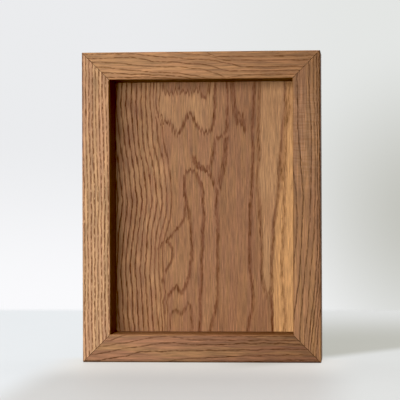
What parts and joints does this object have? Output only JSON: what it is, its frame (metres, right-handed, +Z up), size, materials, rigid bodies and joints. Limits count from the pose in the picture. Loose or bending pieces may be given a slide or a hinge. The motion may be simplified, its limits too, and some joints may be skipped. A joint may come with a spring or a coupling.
{
  "type": "shadow box",
  "caption": "Open-fronted oak shadow box with a deep mitred frame, a recessed veneered back panel, turn buttons and D-ring hangers.",
  "frame": {"origin": "centre of the bottom rail's underside, halfway between the frame's front and rear faces", "axes": "+X to the right as seen from the front, +Y from the front to the rear, +Z up"},
  "size_m": [0.216, 0.0553, 0.281],
  "materials": {
    "oak": "open-grained oak under a thin satin oil finish",
    "oak_veneer": "plain-sliced oak veneer under a thin satin oil finish",
    "beech": "bare pressed beech",
    "zinc_plated_steel": "bright zinc plate, lightly handled",
    "bumper_rubber": "matt moulded rubber"
  },
  "bodies": {
    "frame": {"top_rail": "oak", "bottom_rail": "oak", "left_stile": "oak", "right_stile": "oak", "back_panel": "oak_veneer", "biscuit_top_left_front": "beech", "biscuit_top_left_rear": "beech", "biscuit_top_right_front": "beech", "biscuit_top_right_rear": "beech", "biscuit_bottom_left_front": "beech", "biscuit_bottom_left_rear": "beech", "biscuit_bottom_right_front": "beech", "biscuit_bottom_right_rear": "beech", "turn_button_screw_top": "zinc_plated_steel", "turn_button_screw_bottom": "zinc_plated_steel", "turn_button_screw_left_lower": "zinc_plated_steel", "turn_button_screw_left_upper": "zinc_plated_steel", "turn_button_screw_right_lower": "zinc_plated_steel", "turn_button_screw_right_upper": "zinc_plated_steel", "hanger_strap_left": "zinc_plated_steel", "hanger_strap_right": "zinc_plated_steel", "hanger_screw_left_upper": "zinc_plated_steel", "hanger_screw_left_lower": "zinc_plated_steel", "hanger_screw_right_upper": "zinc_plated_steel", "hanger_screw_right_lower": "zinc_plated_steel", "bumper_left": "bumper_rubber", "bumper_right": "bumper_rubber"},
    "top_button": {"turn_button_top": "zinc_plated_steel"},
    "bottom_button": {"turn_button_bottom": "zinc_plated_steel"},
    "left_lower_button": {"turn_button_left_lower": "zinc_plated_steel"},
    "left_upper_button": {"turn_button_left_upper": "zinc_plated_steel"},
    "right_lower_button": {"turn_button_right_lower": "zinc_plated_steel"},
    "right_upper_button": {"turn_button_right_upper": "zinc_plated_steel"},
    "left_ring": {"hanger_ring_left": "zinc_plated_steel"},
    "right_ring": {"hanger_ring_right": "zinc_plated_steel"}
  },
  "joints": [
    {"name": "top_button_turn", "type": "hinge", "parent": "frame", "child": "top_button", "pos_m": [0, 0.0259, 0.2725], "axis": [0, 1, 0], "continuous": true},
    {"name": "bottom_button_turn", "type": "hinge", "parent": "frame", "child": "bottom_button", "pos_m": [0, 0.0259, 0.0085], "axis": [0, 1, 0], "continuous": true},
    {"name": "left_lower_button_turn", "type": "hinge", "parent": "frame", "child": "left_lower_button", "pos_m": [-0.0995, 0.0259, 0.075], "axis": [0, 1, 0], "continuous": true},
    {"name": "left_upper_button_turn", "type": "hinge", "parent": "frame", "child": "left_upper_button", "pos_m": [-0.0995, 0.0259, 0.17], "axis": [0, 1, 0], "continuous": true},
    {"name": "right_lower_button_turn", "type": "hinge", "parent": "frame", "child": "right_lower_button", "pos_m": [0.0995, 0.0259, 0.075], "axis": [0, 1, 0], "continuous": true},
    {"name": "right_upper_button_turn", "type": "hinge", "parent": "frame", "child": "right_upper_button", "pos_m": [0.0995, 0.0259, 0.17], "axis": [0, 1, 0], "continuous": true},
    {"name": "left_ring_swing", "type": "hinge", "parent": "frame", "child": "left_ring", "pos_m": [-0.0995, 0.0278, 0.228], "axis": [1, 0, 0], "range_deg": [0, 180]},
    {"name": "right_ring_swing", "type": "hinge", "parent": "frame", "child": "right_ring", "pos_m": [0.0995, 0.0278, 0.228], "axis": [1, 0, 0], "range_deg": [0, 180]}
  ]
}
